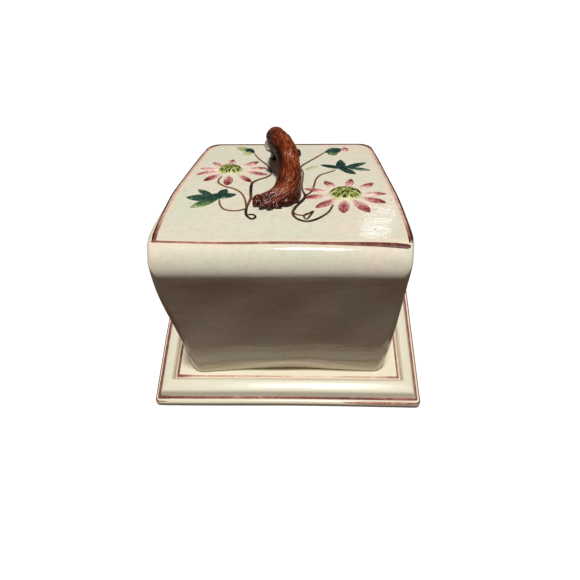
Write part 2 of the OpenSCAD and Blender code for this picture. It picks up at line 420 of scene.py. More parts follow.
def plate_corner(right, back, d, bearing):
    """A point on one rounded corner of the plate's outline, drawn in by d."""
    r = np.maximum(plate_corner_r - d, 0.6)
    half_w = (plate_back_w if back > 0 else plate_front_w) / 2
    x = right * (half_w - d - r)
    y = back * (plate_depth / 2 - end_inset(d) - r)
    angle = math.radians(bearing)
    return np.stack([x + r * math.cos(angle), y + r * math.sin(angle)], -1)


CORNERS = ((1, -1, -90), (1, 1, 0), (-1, 1, 90), (-1, -1, 180))
EDGE_STEPS = 46
CORNER_STEPS = 8
PLATE_AROUND = 4 * (EDGE_STEPS + CORNER_STEPS)


def plate_outline(d):
    """The plate seen from above, drawn in by d: a ring from the front middle by the right side."""
    half_edge = EDGE_STEPS // 2
    d = np.roll(np.broadcast_to(np.asarray(d, float), (PLATE_AROUND,)), -half_edge)
    ring = []
    for corner, (right, back, start) in enumerate(CORNERS):
        next_right, next_back, next_start = CORNERS[(corner + 1) % 4]
        for step in range(CORNER_STEPS):
            ring.append(plate_corner(right, back, d[len(ring)], start + 90 * step / CORNER_STEPS))
        for step in range(EDGE_STEPS):
            inset = d[len(ring)]
            a = plate_corner(right, back, inset, start + 90)
            b = plate_corner(next_right, next_back, inset, next_start)
            ring.append(a + (b - a) * step / EDGE_STEPS)
    return np.roll(ring, half_edge, axis=0)


# How far in from the edge at the sides, and the height there, from the foot round the lip to the well
plate_section = smooth([
    [foot_w, foot_recess],
    [foot_w - 0.4, 0.5],
    [foot_w - 1.2, 0],
    [1.4, 0],
    [0.5, 0.3],
    [0, 1.1],
    [0.15, lip_h - 1.3],
    [0.6, lip_h - 0.4],
    [1.4, lip_h],
    [lip_w - 0.6, lip_h],
    [lip_w, lip_h - 0.5],
    [lip_w + 0.6, lip_h + 0.4],
    [lip_w + 1.7, border_top - 1.9],
    [lip_w + 3.2, border_top - 0.9],
    [border_side_w - 3.8, border_top - 0.05],
    [border_side_w - 2.7, border_top - 0.25],
    [border_side_w - 1.8, border_top - 1.4],
    [border_side_w - 0.8, well_h + 0.7],
    [border_side_w, well_h],
], 5)
# The rows from the widest one up and in, which are seen from above
top_rows = plate_section[np.argmin(plate_section[:, 0]):]


def plate_height(d):
    return np.interp(d, top_rows[:, 0], top_rows[:, 1])


def warped_plate(points):
    """The slight warp of the fired plate, whose sides bow out."""
    x, y, z = np.moveaxis(np.asarray(points, float), -1, 0)
    lift = smoothstep(0.2, 3, z)
    outward = 1.8 * smoothstep(20, 80, x) - 0.9 * smoothstep(20, 80, -x)
    bow = outward * np.sin(np.pi * np.clip(y / plate_depth + 0.5, 0, 1))
    return np.stack([
        x + bow + 0.25 * np.sin(y / 23 + 0.4),
        y + 0.3 * np.sin(x / 27 + 1.1) * smoothstep(60, 96, np.abs(y)),
        z + 0.14 * lift * np.sin(x / 19 + y / 31),
    ], -1)


def make_plate():
    # Outline, height, blush and lack of glaze, from the foot round the lip to the well
    rows = [(plate_outline(foot_w) * share, foot_recess, 0, 0.6) for share in (0.3, 0.65, 0.95)]
    for d, z in plate_section:
        on_lip = math.exp(-((d - 1.6) / 1.6) ** 2) * (z > 1)
        on_slope = math.exp(-(d - border_side_w + 0.4) ** 2) * (z > 1)
        rows.append((plate_outline(d), z, 0.75 * on_lip + on_slope, 1 if z < 0.3 else 0))
    for share in (0.985, 0.955, 0.9, 0.82, 0.7, 0.55, 0.4, 0.25, 0.12):
        rows.append((plate_outline(border_side_w) * share, well_h, 0.5 * smoothstep(0.8, 1, share), 0))
    outlines, heights, blush, bare = zip(*rows)
    rings = [ring_at(outline, z) for outline, z in zip(outlines, heights)]
    points, faces = filled(rings, [(0, 0, foot_recess), (0, 0, well_h)])
    mesh = Mesh().add(
        warped_plate(points), faces,
        blush=np.append(np.repeat(blush, PLATE_AROUND), [0, 0]),
        bare=np.append(np.repeat(bare, PLATE_AROUND), [0.6, 0]),
    )
    mesh.piece("plate_glazed_body", "base", "cream_glaze", ["base_plate"], "plate_glaze")


def plate_line(name, d, stroke, spans=((0, PLATE_AROUND),), glaze="line_glaze"):
    """Painted strokes round the plate, d in from its edge. The function stroke gives their width and
    tone at places on the ring; a span is the first and last point of the ring that one covers."""
    width, tone = stroke(plate_outline(d))
    sides = 8
    columns = []
    for angle in turns(sides):
        inset = d + math.cos(angle) * width / 2
        rise = math.sin(angle) * (0.16 if math.sin(angle) > 0 else 0.3)
        columns.append(ring_at(plate_outline(inset), plate_height(inset) + rise))
    sections = warped_plate(np.stack(columns, axis=1))
    mesh = Mesh()
    for first, last in spans:
        count = last - first
        rings = sections[first:last]
        if count == PLATE_AROUND:
            faces = loft_faces(count, sides, closed=True)
        else:
            step = np.arange(count)
            taper = np.sqrt(np.minimum(1, (np.minimum(step, count - 1 - step) + 0.6) / 5))
            middle = rings.mean(axis=1, keepdims=True)
            rings = middle + (rings - middle) * taper[:, None, None]
            faces = capped_faces(count, sides)
        mesh.add(rings, faces, tone=np.repeat(tone[first:last], sides))
    mesh.piece(name, "base", "line_glaze", glaze=glaze)


def at_side(spot, sign):
    """1 on the plate's left side (sign -1) or right side (sign 1), 0 on its other edges."""
    share = spot[:, 1] / plate_depth + 0.5
    half_w = (plate_front_w + (plate_back_w - plate_front_w) * share) / 2
    return smoothstep(-9, -5, sign * spot[:, 0] - half_w)


def lip_stroke(spot):
    left, right = at_side(spot, -1), at_side(spot, 1)
    width = 1.35 + 0.45 * left - 0.15 * right
    return width, 0.8 + 0.08 * right - 0.1 * left + 0.15 * np.sin(spot[:, 0] / 19)


def rim_stroke(spot):
    side = np.maximum(at_side(spot, -1), at_side(spot, 1))
    return 1.1 - 0.4 * side, 0.45 + 0.4 * side


def well_stroke(spot):
    x = spot[:, 0]
    width = 0.75 + 0.9 * smoothstep(60, 71, -x) + 0.5 * smoothstep(60, 71, x)
    worn = np.exp(-((x - 20) / 24) ** 2)
    return width, 0.36 + 0.5 * smoothstep(62, 71, -x) + 0.3 * smoothstep(62, 71, x) - 0.3 * worn


# Painted shade: width and tone of a thin brownish line on the border's inner slope, where that slope lies
# in shade
def painted_shade_stroke(spot):
    x, y = spot.T
    return 0.7 + 0.15 * np.sin(x / 11 + y / 17), 0.5 + 0.4 * np.sin(x / 23 + y / 13)


# Points of the plate's ring that its outermost strokes run between: the right side with the end of
# the front, and the left side
RIM_SPANS = ((9, 80), (134, 196))


def make_plate_lines():
    plate_line("lip_painted_line", lip_w - 0.3, lip_stroke)
    plate_line("rim_painted_line", 0.8, rim_stroke, RIM_SPANS)
    plate_line("well_painted_line", border_side_w + 0.7, well_stroke)
    # A painted shade line on the inner slope of the border
    plate_line("well_painted_shade_line", border_side_w - 1.5, painted_shade_stroke, glaze="painted_shade_glaze")


# ---------------- things laid on the top

def trail(mesh, route, rise, steps=6, bed=0.3, held=True):
    """A rounded stroke on the top along rows of x, s, width and tone."""
    curve = smooth(route, steps)
    ahead = headings(curve[:, :2])
    sides = 8
    rings = []
    for i, (x, s, width, _) in enumerate(curve):
        taper = math.sqrt(min(1, (min(i, len(curve) - 1 - i) + 0.6) / 3))
        aside = np.array([-ahead[i, 1], ahead[i, 0]])
        for a in turns(sides):
            lift = math.sin(a) * (rise * taper if math.sin(a) > 0 else bed)
            rings.append(on_top((x, s) + aside * math.cos(a) * width / 2 * taper, lift, held))
    mesh.add(rings, capped_faces(len(curve), sides), tone=np.repeat(curve[:, 3], sides))


def blade(mesh, root, tip, width, rise, tone, rib, belly=0.55, curl=0.0, blunt=0.75, streak=0.1):
    """A leaf or petal from root to tip: a mounded lens with a groove down the middle.
    tone holds the tone at the root and at the tip; belly is where the blade is widest."""
    root, tip = np.array(root, float), np.array(tip, float)
    reach = np.linalg.norm(tip - root)
    along = (tip - root) / reach
    aside = np.array([-along[1], along[0]])
    rows, columns = 18, 9
    power = math.log(0.5) / math.log(belly)
    points, tones, under = [], [], []
    for u in np.linspace(0, 1, rows):
        shape = math.sin(math.pi * min(max(u, 0.004), 0.996) ** power) ** blunt
        bend = curl * reach * 4 * u * (1 - u)
        for v in np.linspace(-1, 1, columns):
            spot = root + along * u * reach + aside * (v * width / 2 * shape + bend)
            mound = rise * (1 - v * v) ** 0.5 * (0.35 + 0.65 * shape)
            groove = rib * rise * math.exp(-(v / 0.22) ** 2) * shape
            vein = streak * math.exp(-(v / 0.4) ** 2) * math.sin(math.pi * u ** 0.8)
            points.append(on_top(spot, mound - groove - 0.05))
            tones.append(tone[0] + (tone[1] - tone[0]) * u + vein)
            if abs(v) == 1:
                under.append(on_top(spot, -0.35))
    faces = []
    for i in range(rows - 1):
        left = i * columns
        right = left + columns - 1
        low = rows * columns + 2 * i
        faces += [(a, a + 1, a + columns + 1, a + columns) for a in range(left, right)]
        faces.append((left, left + columns, low + 2, low))
        faces.append((right, low + 1, low + 3, right + columns))
        faces.append((low, low + 2, low + 3, low + 1))
    for i in (0, rows - 1):
        low = rows * columns + 2 * i
        faces.append(tuple(range(i * columns, (i + 1) * columns)) + (low + 1, low))
    mesh.add(points + under, faces, tone=tones + [tone[1]] * len(under))


def out_from(centre, bearing, reach):
    angle = math.radians(bearing)
    return centre[0] + reach * math.cos(angle), centre[1] + reach * math.sin(angle)


# Petals: bearing, start and end out from the flower's middle, width, and how dark the tip is
LEFT_PETALS = (
    (271, 10.5, 23.3, 6.2, 1.00), (308, 10.5, 23.9, 4.6, 0.95), (342, 11.5, 25.2, 4.4, 0.80),
    (8, 13.0, 22.6, 3.8, 0.75), (41, 11.5, 21.6, 5.2, 0.80), (91, 9.5, 17.4, 5.0, 0.75),
    (135, 9.5, 17.4, 4.0, 0.70), (172, 8.8, 19.4, 4.0, 0.60), (199, 9.0, 21.3, 4.2, 0.65),
    (230, 11.0, 22.0, 5.4, 0.95),
)
RIGHT_PETALS = (
    (227, 11.0, 25.0, 6.0, 0.95), (264, 9.5, 24.6, 6.6, 0.80), (296, 10.5, 26.2, 7.0, 0.85),
    (332, 12.0, 24.4, 6.2, 0.90), (359, 11.5, 22.8, 4.4, 0.75), (41, 12.0, 22.6, 5.0, 0.80),
    (77, 11.0, 21.2, 5.4, 0.85), (123, 11.5, 21.0, 5.4, 0.80), (164, 12.5, 24.0, 4.4, 0.75),
    (194, 11.5, 24.4, 5.4, 0.90),
)
# Flowers: x, s of the middle, half widths of the seed centre, how many strokes ring it, and petals
Flower = namedtuple("Flower", "side centre half strokes petals")
FLOWERS = (
    Flower("left", (-36.3, 110.3), (8, 6.8), 16, LEFT_PETALS),
    Flower("right", (35.3, 74.4), (10, 8.6), 20, RIGHT_PETALS),
)
seed_rise = 3.2
petal_rise = 1.0


def make_petals(flower):
    mesh = Mesh()
    for bearing, start, end, width, dark in flower.petals:
        root = out_from(flower.centre, bearing, start - 2.8)
        tip = out_from(flower.centre, bearing, end + 0.8)
        blade(
            mesh, root, tip, width, petal_rise, (-0.12, 0.93 * dark), rib=0.4, belly=0.58,
            curl=0.02 * math.sin(bearing), blunt=0.66, streak=0.26,
        )
    mesh.piece(flower.side + "_petals_painted", "cover", "rose_glaze", [flower.side + "_petals"])


def on_seed(flower, share, angle):
    """x, s on a seed centre, at a share of its half widths out from its middle."""
    return flower.centre + np.array(flower.half) * share * [math.cos(angle), math.sin(angle)]


def seed_height(share):
    """Height of the seed centre at a share of its half width from its middle."""
    return seed_rise * (1 - np.clip(share, 0, 1) ** 3.2)


def make_seed_centre(flower):
    sides, rows = 72, 16
    points = []
    tones = []
    for share in np.linspace(0.06, 1.02, rows):
        for a in turns(sides):
            bumps = 0.1 * math.sin(a * 17) * math.sin(share * 15)
            height = seed_height(share) + bumps - (0.3 if share > 1 else 0)
            points.append(on_top(on_seed(flower, share, a), height))
            tones.append(0.55 * (1 - smoothstep(0.8, 1.0, share)) + 0.1 * math.sin(a * 5))
    mesh = Mesh().add(points, capped_faces(rows, sides), tone=tones)
    mesh.piece(flower.side + "_seed_dome", "cover", "seed_glaze", [flower.side + "_flower_centre"])


def seed_stroke(mesh, flower, bearing, start, end, width, swing):
    """A brushed stroke on a seed centre, from one share of its half widths to another."""
    steps, sides = 8, 6
    points = []
    for t in np.linspace(0, 1, steps):
        share = start + (end - start) * t
        a = math.radians(bearing + swing * t)
        aside = np.array([-math.sin(a), math.cos(a)])
        thick = width * math.sin(math.pi * (0.12 + 0.76 * t))
        for k in turns(sides):
            spot = on_seed(flower, share, a) + aside * math.cos(k) * thick / 2
            points.append(on_top(spot, seed_height(share) + 0.22 * math.sin(k)))
    mesh.add(points, capped_faces(steps, sides), tone=0.5 + 0.5 * math.sin(bearing))


def make_seed_strokes(flower):
    """A ring of outer strokes, half as many inner ones, and three long ones across."""
    mesh = Mesh()
    for i in range(flower.strokes):
        bearing = i * 360 / flower.strokes + 6 * math.sin(i * 2.4)
        seed_stroke(mesh, flower, bearing, 0.6 + 0.05 * (i % 3), 0.9, 1.3, 4)
    for i in range(flower.strokes // 2):
        bearing = i * 720 / flower.strokes + 11
        seed_stroke(mesh, flower, bearing, 0.25, 0.54 + 0.05 * (i % 2), 1.15, 22)
    for bearing in (20, 265, 300):
        seed_stroke(mesh, flower, bearing, 0.08, 0.8, 1.1, -30)
    mesh.piece(flower.side + "_seed_strokes", "cover", "seed_glaze", glaze="seed_stroke_glaze")


# Leaves and buds: piece, CAD nodes, slot, rise, and for each lobe its root and tip as x, s, its width,
# and its tone at root and tip
LEAVES = (
    ("left_leaf_lobes", ["left_leaf"], "leaf_glaze", 1.1, (
        ((-39.5, 69.5), (-35, 80.5), 6.0, 0.75, 0.85), ((-42, 69), (-28.5, 73), 6.5, 0.85, 0.7),
        ((-41, 70), (-52.5, 80), 4.4, 0.7, 0.45), ((-38.5, 68), (-57.5, 69.5), 8.6, 0.75, 0.6),
        ((-38, 68.5), (-53, 56), 7.4, 0.7, 0.25), ((-47, 68.5), (-34.5, 72), 8.0, 0.8, 0.8),
    )),
    ("right_leaf_lobes", ["right_leaf"], "leaf_glaze", 1.1, (
        ((34.8, 109.5), (34.8, 128), 6.6, 0.9, 0.75), ((34, 112), (51.5, 122.5), 5.2, 0.9, 0.65),
        ((38, 114), (53, 109.5), 3.4, 0.75, 0.7), ((34, 114), (43.5, 103.5), 5.6, 0.9, 0.6),
        ((38, 112), (21.5, 119), 4.4, 0.85, 0.8),
    )),
    ("left_bud_calyx", ["left_bud"], "leaf_glaze", 1.5, (
        ((-23.3, 141.2), (-30, 149), 6.0, 0.95, 0.75),
    )),
    ("left_bud_sepals", [], "pale_leaf_glaze", 1.1, (
        ((-26, 144), (-36.5, 152.5), 7.0, 0.8, 0.15), ((-25.5, 144), (-31, 135.5), 6.0, 0.6, 0.1),
    )),
    ("right_bud_calyx", ["right_bud"], "leaf_glaze", 1.4, (
        ((24.6, 141.5), (36.5, 148), 9.5, 0.7, 0.75), ((29.5, 145), (31, 136), 7.0, 0.75, 0.5),
    )),
    ("right_bud_petals", ["right_bud_tip"], "rose_glaze", 1.2, (
        ((35.5, 146.5), (41.5, 147.5), 6.5, 0.35, 0.7),
    )),
    ("pale_leaf_blade", ["pale_leaf"], "pale_leaf_glaze", 0.5, (
        ((10.5, 110.5), (20.5, 118), 4.2, 0.3, 0.0),
    )),
)


def make_leaves():
    for name, nodes, slot, rise, lobes in LEAVES:
        mesh = Mesh()
        for root, tip, width, at_root, at_tip in lobes:
            blade(mesh, root, tip, width, rise, (at_root, at_tip), rib=0.35)
        mesh.piece(name, "cover", slot, nodes)


# Vines: x, s, width and tone, a tone of 1 being nearly black
LEFT_VINE = (
    (-23.5, 140.5, 0.9, 0.45), (-19.5, 130, 1.0, 0.4), (-14, 120, 1.0, 0.45), (-10.7, 111, 1.1, 0.3),
    (-9.9, 104, 1.2, 0.3), (-12, 99, 1.2, 0.45), (-17, 94.5, 1.2, 0.5), (-20.3, 90, 1.6, 0.75),
    (-20.8, 84, 2.0, 1.0), (-20.3, 76, 1.9, 0.9), (-19.6, 68, 1.9, 0.4), (-20.4, 60, 1.6, 0.4),
    (-20.9, 54, 1.7, 0.75), (-20.4, 47.5, 1.7, 0.95), (-18.6, 43.4, 1.4, 0.85), (-16.5, 41.6, 1.4, 1.0),
    (-14.9, 43.8, 1.3, 1.0), (-16.2, 46.4, 1.1, 0.9), (-19.6, 46.6, 0.9, 0.7),
)
LEFT_TENDRILS = (
    ((-40.5, 100, 1.0, 0.1), (-41.9, 95, 1.2, 0.2), (-41, 89.5, 1.4, 0.3), (-36.5, 84.3, 1.1, 0.35),
     (-31, 81, 1.1, 0.35), (-26.5, 76, 1.2, 0.3), (-23.5, 69, 1.2, 0.3), (-21.6, 60, 1.3, 0.35),
     (-20.8, 54, 1.3, 0.5)),
    ((-37.8, 67, 1.0, 0.3), (-36.7, 60.5, 1.2, 0.3), (-34, 54.3, 1.1, 0.35), (-29.5, 51.7, 1.1, 0.4),
     (-24.5, 52, 1.1, 0.4), (-21, 54.5, 1.1, 0.45)),
)
RIGHT_VINE = (
    (25, 142, 0.9, 0.25), (20.5, 134.5, 1.0, 0.3), (14, 125, 1.1, 0.4), (8.8, 115.6, 1.3, 0.5),
    (10.2, 107, 1.2, 0.3), (10.2, 97, 1.2, 0.3), (9.7, 86, 1.2, 0.35), (10.6, 77, 1.2, 0.45),
    (11.8, 71.5, 1.9, 0.8), (10.6, 66, 2.1, 0.9), (8, 60, 2.0, 0.95), (5.8, 54, 1.9, 0.65),
    (5.1, 48, 1.6, 0.6), (7.5, 42, 1.4, 0.6), (12.3, 38.8, 1.5, 0.7), (17, 40.7, 1.7, 0.85),
    (21.5, 45.3, 1.3, 0.6), (25, 51, 1.3, 0.65), (27.6, 60, 1.3, 0.75),
)
RIGHT_TENDRILS = (
    ((31, 110.5, 1.0, 0.2), (26.5, 106.5, 1.1, 0.25), (21, 102.2, 1.2, 0.3), (18.2, 95, 1.2, 0.35),
     (17, 86, 1.3, 0.4), (15.2, 77, 1.2, 0.5), (11.6, 70.8, 1.4, 0.75)),
    ((5.3, 50.5, 0.9, 0.4), (6.8, 47.3, 0.9, 0.45), (10, 46, 1.0, 0.5), (13, 47.2, 1.2, 0.6),
     (16.2, 51.2, 1.2, 0.75), (15, 46.8, 1.2, 0.8), (12.8, 41, 1.3, 0.7)),
    ((12.6, 41, 1.0, 0.6), (11.2, 44.5, 1.1, 0.65), (12.2, 47.6, 1.0, 0.7), (14.2, 48.4, 0.9, 0.7)),
)


def make_vines():
    vines = (
        ("left_vine_trail", "left_vine", 0.75, [LEFT_VINE]),
        ("left_tendril_trails", "left_tendrils", 0.6, LEFT_TENDRILS),
        ("right_vine_trail", "right_vine", 0.75, [RIGHT_VINE]),
        ("right_tendril_trails", "right_tendrils", 0.6, RIGHT_TENDRILS),
    )
    for name, node, rise, routes in vines:
        mesh = Mesh()
        for route in routes:
            trail(mesh, route, rise)
        mesh.piece(name, "cover", "vine_glaze", [node])


def make_crest_line():
    mesh = Mesh()
    rows = [
        (-62.6, 16.4, 2.0, 0.85), (-52, 15.6, 1.8, 0.5), (-30, 14.4, 2.0, 0.52), (-5, 14.4, 2.3, 0.64),
        (20, 14, 2.4, 0.68), (42, 13.8, 3.4, 0.85), (55, 13, 3.8, 1.0), (62.8, 11.8, 3.0, 1.1),
    ]
    trail(mesh, rows, 0.13, steps=10, held=False)
    mesh.piece("crest_painted_line", "cover", "line_glaze")


def make_edge_line(name, inset, width, dark, glaze):
    """A line just inside the side and back edges, from one end of the crest line to the other."""
    ring = cover_outline(inset)
    half = len(ring) // 2
    right = [i for i in range(1, half + 1) if ring[i, 1] > 12.5]
    left = [len(ring) - i for i in right]
    rows = []
    for i in right + left[-2::-1]:
        s = ring[i, 1] / math.cos(slope)
        # Towards the back both edge lines broaden and darken; the darkening is partly a darker painted
        # line and partly painted shade on the back edge's roll, which faces away from the lamp
        at_back = smoothstep(146, 156, s)
        tone = dark + 0.8 * math.exp(-((s - 13) / 20) ** 2) + 0.8 * at_back
        drawn_in = 1.6 * (1 - smoothstep(15, 75, s)) * (ring[i, 0] < 0)
        broad = width * (1 + 0.6 * at_back) + 0.2 * math.sin(s / 9)
        rows.append((ring[i, 0] + drawn_in, s, broad, tone))
    mesh = Mesh()
    trail(mesh, rows, 0.16, steps=1, bed=0.8, held=False)
    mesh.piece(name, "cover", "line_glaze", glaze=glaze)


# ---------------- the branch

# x, s, share of the rise, share of the radius, from the root to the far end
BRANCH = (
    (-11.5, 57.5, 0.04, 0.95), (-5, 60.5, 0.13, 1.05), (0.5, 65.5, 0.25, 1.15), (2.6, 73, 0.42, 1.18),
    (2.4, 81, 0.63, 1.10), (1, 88, 0.82, 1.10), (-2.2, 95.5, 0.96, 1.12), (-5.2, 104, 1.00, 1.08),
    (-7, 114, 0.90, 0.98), (-7, 123, 0.64, 0.98), (-5.8, 129.5, 0.33, 1.04), (-5, 133.5, 0.0, 1.12),
)
# Toes and heel of the root: x, s, h of the middle, three half widths, and the bearing of the first
ROOT = (
    (-13.6, 61.8, 2.2, 4.0, 2.4, 3.0, 190), (-13.2, 58.0, 2.0, 4.0, 2.1, 2.8, 212),
    (-10.8, 55.4, 1.8, 3.8, 2.0, 2.6, 238), (-7.4, 54.4, 1.8, 3.8, 2.1, 2.6, 260),
    (-3.6, 55.6, 1.5, 3.6, 2.7, 2.6, 282), (-5.5, 60.0, 2.5, 7.5, 5.0, 4.5, 35),
    (3.0, 61.5, 1.8, 6.8, 4.4, 4.2, 50), (5.4, 68.0, 2.4, 5.8, 3.8, 4.6, 82),
)


def hoop(centre, way, guide, radii):
    """A ring of points round an axis that runs along way, starting square to the guide."""
    across = unit(np.cross(way, guide))
    up = np.cross(across, way)
    angles = turns(len(radii))
    return [centre + r * (math.cos(a) * across + math.sin(a) * up) for a, r in zip(angles, radii)]


def tube(curve, sides):
    """Rings round a curve of x, y, z and radius, with both ends closed."""
    points = []
    for row, way in zip(curve, headings(curve[:, :3])):
        points += hoop(row[:3], way, [way[1], -way[0], 0.6], [row[3]] * sides)
    return np.array(points), capped_faces(len(curve), sides)


def lump(x, y, z, a, b, c, bearing):
    """An egg-shaped closed skin with half widths a, b and c."""
    sides, rows = 24, 13
    turn = math.radians(bearing)
    points = []
    for v in np.linspace(-0.97, 0.97, rows):
        for u in turns(sides):
            girth = math.cos(v * math.pi / 2)
            p, q = a * girth * math.cos(u), b * girth * math.sin(u)
            points.append((
                x + p * math.cos(turn) - q * math.sin(turn),
                y + p * math.sin(turn) + q * math.cos(turn),
                z + c * math.sin(v * math.pi / 2),
            ))
    return np.array(points), capped_faces(rows, sides)


def bark_relief(points, curve):
    """For each point of the smooth branch: the way out of its middle line, the height of its bark, how
    deep in a furrow it lies, its place in axes that run along the fibres, and how far it faces up
    and to the right, which its glaze turns into painted light on its top and painted shade on its sides."""
    nearest = np.argmin(((points[:, None, :] - curve[None, :, :3]) ** 2).sum(-1), axis=1)
    length = np.concatenate([[0], np.cumsum(np.linalg.norm(np.diff(curve[:, :3], axis=0), axis=1))])
    out = points - curve[nearest, :3]
    ahead = headings(curve[:, :3])[nearest]
    beyond = (out * ahead).sum(1)
    away = unit(out - beyond[:, None] * ahead)
    fibre = away * 6.2 + np.outer((length[nearest] + beyond) / 8, [0.35, 0.2, 0.9])
    depth = smoothstep(0.4, 1.0, 1 - np.abs(noise_at(fibre, 1.3, 1)) * 2.4)
    height = 0.5 * noise_at(points, 6.5, 3) - 0.3 * depth + 0.2 * noise_at(fibre, 0.6, 2)
    # Painted light: how far the bark faces up and to the right, towards the lamp, painted as a highlight
    # on top and as shade on the sides
    crown = smoothstep(-0.35, 1.0, away @ np.array([0.34, -0.1, 0.93]))
    return unit(out), height, depth, fibre, crown


def make_branch():
    rows = [(x, s, share * branch_rise, r * branch_r) for x, s, share, r in BRANCH]
    shapes = [tube(smooth(rows, steps=14), sides=40)] + [lump(*row) for row in ROOT]
    points, faces = remeshed(shapes, voxel=0.36)
    out, height, depth, fibre, crown = bark_relief(points, smooth(rows, steps=30))
    x, s, h = points.T
    toes = (1 - smoothstep(52, 61, s)) * (1 - smoothstep(-9, -2, x))
    points = points + out * (height * smoothstep(-2, 0.5, h))[:, None]
    mesh = Mesh().add(
        over_top(points), faces, furrow=depth, root=toes, crown=crown,
        fibre_x=fibre[:, 0], fibre_y=fibre[:, 1], fibre_z=fibre[:, 2],
    )
    mesh.piece("branch_bark", "cover", "bark_glaze", ["branch_handle", "branch_root"])


TURNED_SIDES = 36


def turned(profile, at, way):
    """Rows of distance along an axis and radius, turned round that axis, in the top's axes."""
    way = unit(np.array(way))
    a = turns(TURNED_SIDES)
    wobble = 1 + 0.05 * np.sin(3 * a + 1) + 0.03 * np.sin(7 * a)
    points = []
    for reach, r in profile:
        points += hoop(np.array(at) + way * reach, way, [0, 0, 1], r * wobble)
    return np.array(points), capped_faces(len(profile), TURNED_SIDES)


def make_cut_twig():
    """The sawn stub on the left: a short taper whose end shows its rings, as reach, radius, tone."""
    profile = np.array([
        (0, 4.2, 1), (3, 4.2, 1), (4.8, 4.1, 0.8), (5.6, 3.9, 0.5), (6.1, 3.4, 0.15), (6.3, 2.7, 0),
        (6.1, 2.3, 0.6), (6.3, 1.9, 0.05), (6.1, 1.5, 0.6), (6.3, 1.1, 0.1), (6.1, 0.8, 0.8),
        (6.3, 0.4, 0.3), (6.2, 0.1, 0.9),
    ])
    points, faces = turned(profile[:, :2], (-6.4, 103.6, 18.2), (-0.68, -0.58, 0.45))
    mesh = Mesh().add(over_top(points), faces, tone=np.repeat(profile[:, 2], TURNED_SIDES))
    mesh.piece("cut_twig_rings", "cover", "twig_end_glaze", ["cut_twig"])


def make_twig_knot():
    """The knot on the right, as rows of reach, radius and depth of furrow."""
    profile = np.array([
        (-1.5, 2.6, 0.2), (0.2, 2.5, 0.3), (1.2, 2.2, 0.5), (1.9, 1.6, 0.4), (2.1, 1.0, 0.7),
        (1.8, 0.6, 1), (1.6, 0.15, 1),
    ])
    points, faces = turned(profile[:, :2], (6.8, 91, 18.4), (0.9, 0.1, 0.2))
    # The knot takes a fixed share of the bark's painted highlight
    mesh = Mesh().add(
        over_top(points), faces, furrow=np.repeat(profile[:, 2], TURNED_SIDES), root=0.0, crown=0.3,
        fibre_x=points[:, 0], fibre_y=points[:, 1], fibre_z=points[:, 2],
    )
    mesh.piece("twig_knot_bark", "cover", "bark_glaze", ["twig_knot"])


def make_foot_fillet():
    """The thick glaze that pooled along the right of the branch's foot."""
    mesh = Mesh()
    rows = [
        (-6, 52.4, 1.0, 0), (-3, 51.8, 1.6, 0), (0, 52.4, 1.4, 0), (2.6, 54.2, 1.9, 0),
        (4.8, 56.6, 1.4, 0), (6.4, 59.2, 1.8, 0), (7.8, 62.6, 1.3, 0), (8.8, 66.5, 1.4, 0),
        (9.2, 71, 0.9, 0),
    ]
    trail(mesh, rows, 0.9)
    mesh.piece("foot_glaze_fillet", "cover", "cream_glaze")


# ---------------- materials

class Graph:
    """The node tree of a material or the world, with short calls for the nodes used here."""

    def __init__(self, owner, coordinates="Object"):
        owner.use_nodes = True
        self.owner = owner
        self.tree = owner.node_tree
        self.shader = self.tree.nodes.get("Principled BSDF")
        self.place = self.node("TexCoord").outputs[coordinates]

    def node(self, kind, sockets=(), **settings):
        """A new node; sockets gives its inputs by name or number, as values or as other outputs."""
        made = self.tree.nodes.new("ShaderNode" + kind)
        for key, value in settings.items():
            setattr(made, key, value)
        for key, value in dict(sockets).items():
            self.plug(value, made.inputs[key])
        return made

    def plug(self, value, socket):
        if isinstance(value, bpy.types.NodeSocket):
            self.tree.links.new(value, socket)
        else:
            socket.default_value = value

    def noise(self, scale, detail, rough=0.5, place=None):
        sockets = {"Vector": place or self.place, "Scale": scale, "Detail": detail, "Roughness": rough}
        return self.node("TexNoise", sockets).outputs["Fac"]

    def stretched(self, x, y, z):
        return self.node("Mapping", {"Vector": self.place, "Scale": (x, y, z)}).outputs["Vector"]

    def voronoi(self, scale, feature="F1"):
        sockets = {"Vector": self.place, "Scale": scale}
        return self.node("TexVoronoi", sockets, feature=feature).outputs["Distance"]

    def value(self, name):
        """A value stored at the vertices under this name."""
        return self.node("Attribute", attribute_name=name).outputs["Fac"]

    def math(self, operation, a, b):
        return self.node("Math", {0: a, 1: b}, operation=operation).outputs[0]

    def spread(self, value, low, high, to_low=0.0, to_high=1.0, curve="LINEAR"):
        sockets = {"Value": value, "From Min": low, "From Max": high, "To Min": to_low, "To Max": to_high}
        return self.node("MapRange", sockets, interpolation_type=curve).outputs["Result"]

    def mix(self, share, a, b):
        return self.node("Mix", {"Factor": share, "A": a, "B": b}, data_type="RGBA").outputs["Result"]

    def ramp(self, value, stops):
        """Colours by value; a stop is a position with its red, green and blue."""
        made = self.node("ValToRGB", {"Fac": value})
        band = made.color_ramp
        while len(band.elements) < len(stops):
            band.elements.new(0.5)
        for element, (position, *colour) in zip(band.elements, stops):
            element.position = position
            element.color = srgb(*colour)
        return made.outputs["Color"]

    def bump(self, height, depth, after=None):
        """Relief depth millimetres deep, on top of the relief after."""
        sockets = {"Strength": 1, "Distance": depth * MM, "Height": height}
        if after:
            sockets["Normal"] = after
        return self.node("Bump", sockets).outputs["Normal"]

    def finish(self, colour, roughness, normal, specular=0.5):
        self.plug(colour, self.shader.inputs["Base Color"])
        self.plug(roughness, self.shader.inputs["Roughness"])
        self.plug(normal, self.shader.inputs["Normal"])
        self.plug(specular, self.shader.inputs["Specular IOR Level"])
        return self.owner


